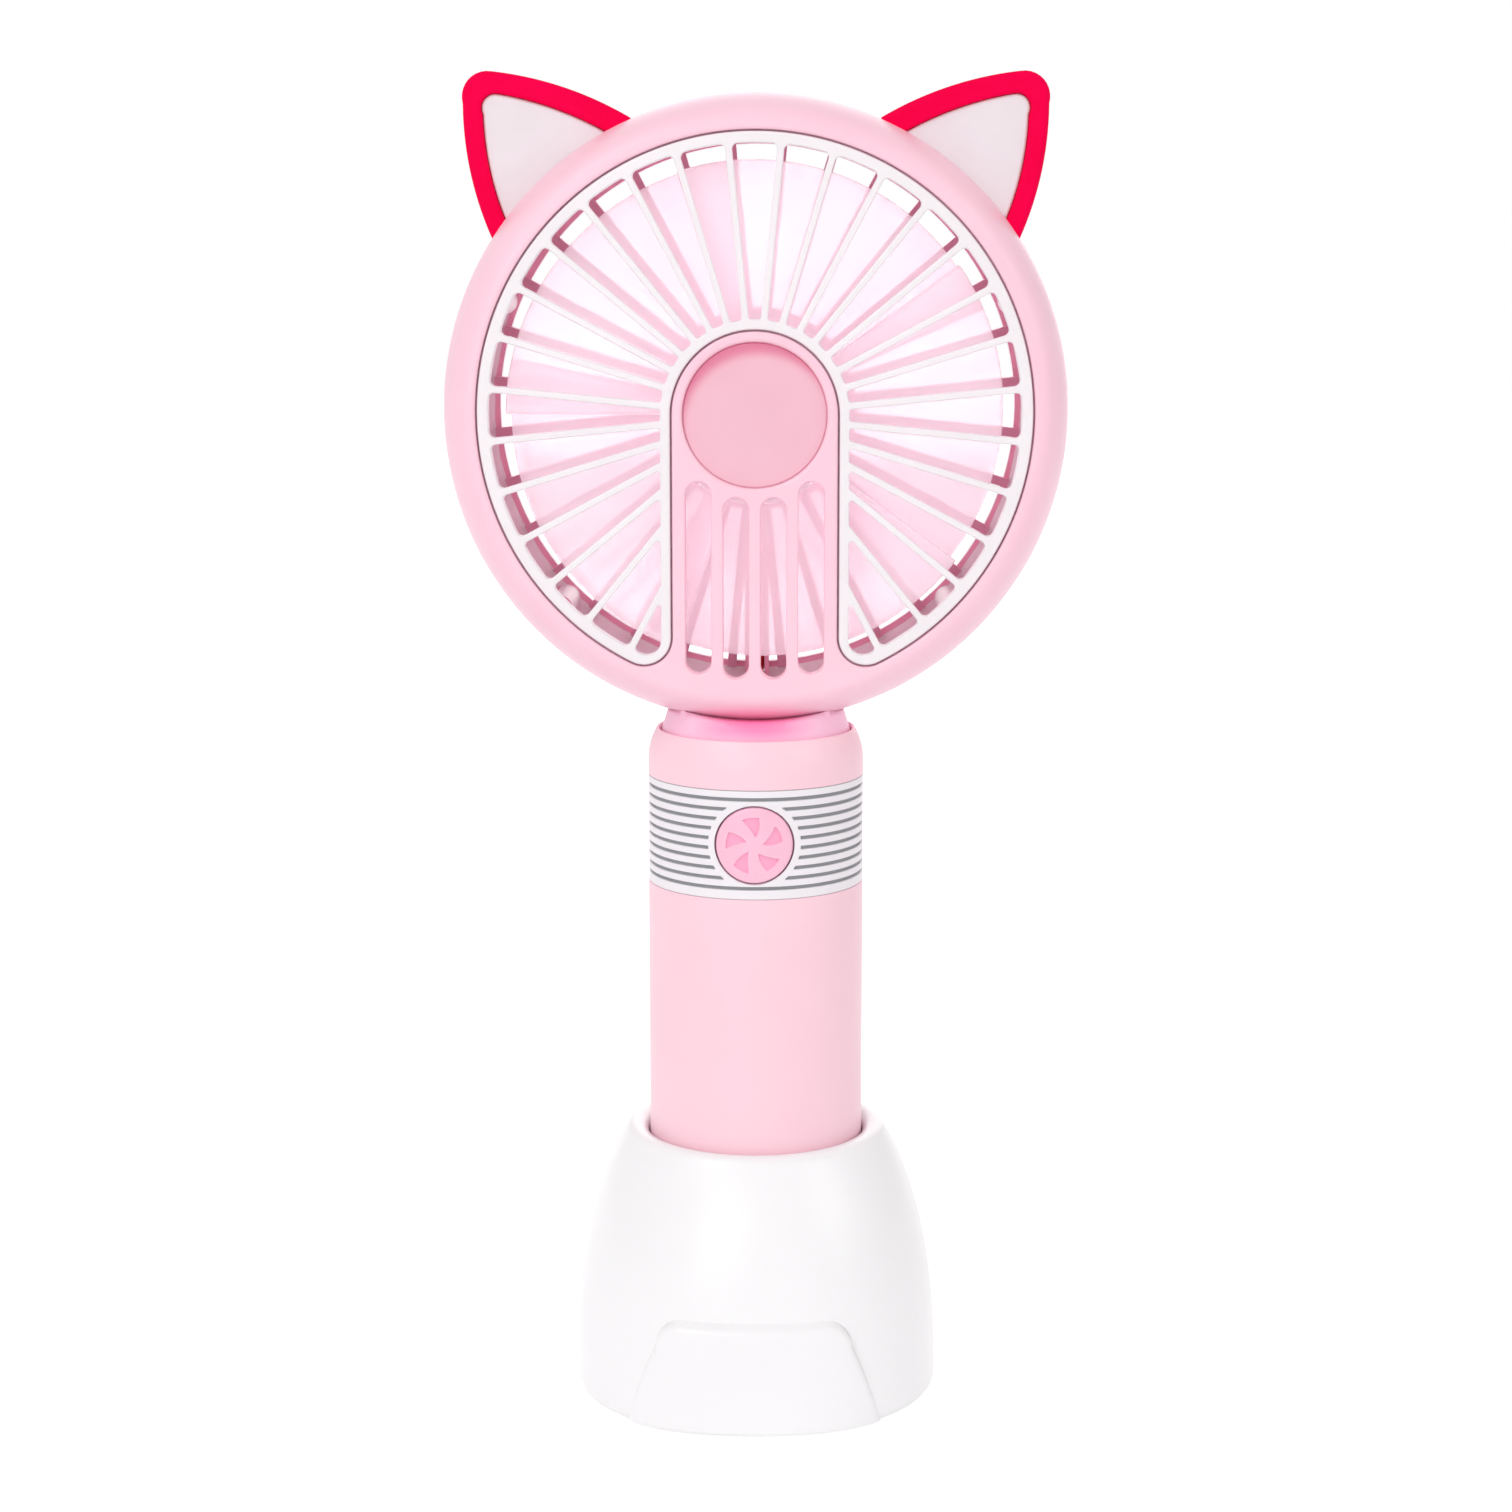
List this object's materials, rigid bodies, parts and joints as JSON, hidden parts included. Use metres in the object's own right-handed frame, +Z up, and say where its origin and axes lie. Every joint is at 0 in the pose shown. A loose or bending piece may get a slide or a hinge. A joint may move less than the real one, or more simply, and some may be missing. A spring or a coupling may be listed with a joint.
{
  "type": "handheld electric fan",
  "caption": "Small rechargeable fan with a round guarded head, cat ears, ribbed band with a power button, and a bell-shaped desk stand that it lifts out of.",
  "frame": {"origin": "on the floor under the handle's axis, at the centre of the stand", "axes": "+Z up along the handle, -Y the way the fan faces and blows, +X to the right seen from the front"},
  "size_m": [0.1, 0.0614, 0.2147],
  "materials": {
    "base_white": "satin white ABS",
    "grip_pink": "satin pale pink ABS",
    "head_pink": "satin pale pink ABS",
    "neck_pink": "satin mid pink ABS",
    "band_white": "satin white ABS with grey grooves",
    "button_pink": "satin pink ABS",
    "grille_white": "gloss white ABS",
    "ear_crimson": "gloss crimson ABS",
    "ear_white": "satin pearl white",
    "blade_frost": "frosted translucent polycarbonate",
    "inner_plastic": "natural white ABS",
    "bare_steel": "zinc plated",
    "weight_iron": "as cast",
    "rubber_grey": "soft matt",
    "board_green": "solder mask",
    "cell_wrap": "shrink sleeve",
    "switch_black": "matt",
    "bush_bronze": "sintered bronze",
    "magnet_grey": "ferrite",
    "copper": "enamelled copper",
    "lead_red": "silicone sleeve",
    "lead_black": "silicone sleeve",
    "lamp_clear": "clear acrylic"
  },
  "bodies": {
    "base": {"base_shell": "base_white", "base_bottom_plate": "base_white", "base_weight": "weight_iron", "base_feet": "rubber_grey", "base_screws": "bare_steel"},
    "fan": {"bottom_cap": "grip_pink", "cap_screw": "bare_steel", "grip_tube": "grip_pink", "grip_band": "band_white", "collar": "grip_pink", "neck": "neck_pink", "neck_screws": "bare_steel", "chassis": "inner_plastic", "chassis_screws": "bare_steel", "battery_cell": "cell_wrap", "battery_positive_contact": "bare_steel", "battery_negative_spring": "bare_steel", "battery_lead": "lead_black", "control_board": "board_green", "board_screws": "bare_steel", "usb_socket": "bare_steel", "charge_lamp": "lamp_clear", "tact_switch": "switch_black", "front_cover": "head_pink", "hub_disc": "head_pink", "front_grille": "grille_white", "rear_cover": "head_pink", "wire_cover": "head_pink", "cover_screws": "bare_steel", "ear_shell_left": "ear_crimson", "ear_shell_right": "ear_crimson", "ear_panel_left": "ear_white", "ear_panel_right": "ear_white", "motor_can": "bare_steel", "motor_end_cap": "inner_plastic", "motor_bushes": "bush_bronze", "motor_magnets": "magnet_grey", "motor_mount_plate": "inner_plastic", "motor_screws": "bare_steel", "mount_plate_screws": "bare_steel", "motor_lead_red": "lead_red", "motor_lead_black": "lead_black"},
    "rotor": {"impeller": "blade_frost", "motor_shaft": "bare_steel", "motor_armature": "copper", "commutator": "copper"},
    "button": {"power_button": "button_pink", "switch_plunger": "switch_black"}
  },
  "joints": [
    {"name": "lift_out", "type": "slide", "parent": "base", "child": "fan", "axis": [0, 0, 1], "range_m": [0, 0.04]},
    {"name": "fan_spin", "type": "hinge", "parent": "fan", "child": "rotor", "pos_m": [0, 0, 0.1615], "axis": [0, -1, 0], "continuous": true},
    {"name": "power_press", "type": "slide", "parent": "fan", "child": "button", "axis": [0, 1, 0], "range_m": [0, 0.0005], "stiffness_N_per_m": 2000}
  ]
}
